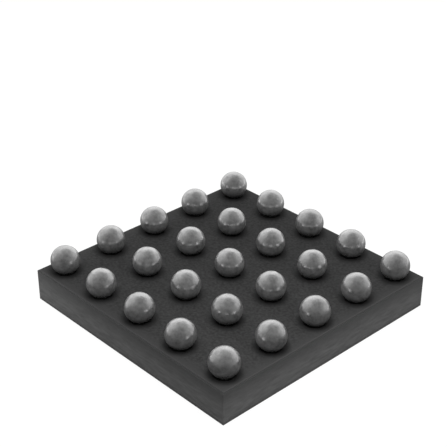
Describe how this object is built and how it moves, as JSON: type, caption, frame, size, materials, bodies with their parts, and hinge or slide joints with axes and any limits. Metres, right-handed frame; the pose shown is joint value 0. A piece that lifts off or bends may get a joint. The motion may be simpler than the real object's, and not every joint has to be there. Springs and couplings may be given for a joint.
{
  "type": "wafer-level chip",
  "caption": "Square bare-die chip package: a thin flat dark body with a regular grid of round solder balls over one face, to be soldered face down on a circuit board.",
  "frame": {"origin": "centre of the flat back face, on the surface that the chip rests on", "axes": "+Z out of the ball face, X and Y along the sawn edges and the rows and columns of balls; ball a1 is at the +X +Y corner"},
  "size_m": [0.0024, 0.0024, 0.0005],
  "materials": {
    "back_film": "matte black laminated film",
    "silicon": "sawn silicon, dark grey, matte",
    "chip_metal": "bare thin-film aluminium",
    "polymer": "cured polymer coat, dark grey, matte",
    "bump_metal": "plated nickel over copper, matte grey",
    "solder": "reflowed tin alloy solder, bright grey with a fine grain"
  },
  "bodies": {
    "root": {"back_side_film": "back_film", "silicon_die": "silicon", "seal_ring": "chip_metal", "die_pads": "chip_metal", "polymer_coat": "polymer", "bump_pad_a1": "bump_metal", "bump_pad_a2": "bump_metal", "bump_pad_a3": "bump_metal", "bump_pad_a4": "bump_metal", "bump_pad_a5": "bump_metal", "bump_pad_b1": "bump_metal", "bump_pad_b2": "bump_metal", "bump_pad_b3": "bump_metal", "bump_pad_b4": "bump_metal", "bump_pad_b5": "bump_metal", "bump_pad_c1": "bump_metal", "bump_pad_c2": "bump_metal", "bump_pad_c3": "bump_metal", "bump_pad_c4": "bump_metal", "bump_pad_c5": "bump_metal", "bump_pad_d1": "bump_metal", "bump_pad_d2": "bump_metal", "bump_pad_d3": "bump_metal", "bump_pad_d4": "bump_metal", "bump_pad_d5": "bump_metal", "bump_pad_e1": "bump_metal", "bump_pad_e2": "bump_metal", "bump_pad_e3": "bump_metal", "bump_pad_e4": "bump_metal", "bump_pad_e5": "bump_metal", "solder_ball_a1": "solder", "solder_ball_a2": "solder", "solder_ball_a3": "solder", "solder_ball_a4": "solder", "solder_ball_a5": "solder", "solder_ball_b1": "solder", "solder_ball_b2": "solder", "solder_ball_b3": "solder", "solder_ball_b4": "solder", "solder_ball_b5": "solder", "solder_ball_c1": "solder", "solder_ball_c2": "solder", "solder_ball_c3": "solder", "solder_ball_c4": "solder", "solder_ball_c5": "solder", "solder_ball_d1": "solder", "solder_ball_d2": "solder", "solder_ball_d3": "solder", "solder_ball_d4": "solder", "solder_ball_d5": "solder", "solder_ball_e1": "solder", "solder_ball_e2": "solder", "solder_ball_e3": "solder", "solder_ball_e4": "solder", "solder_ball_e5": "solder"}
  },
  "joints": []
}
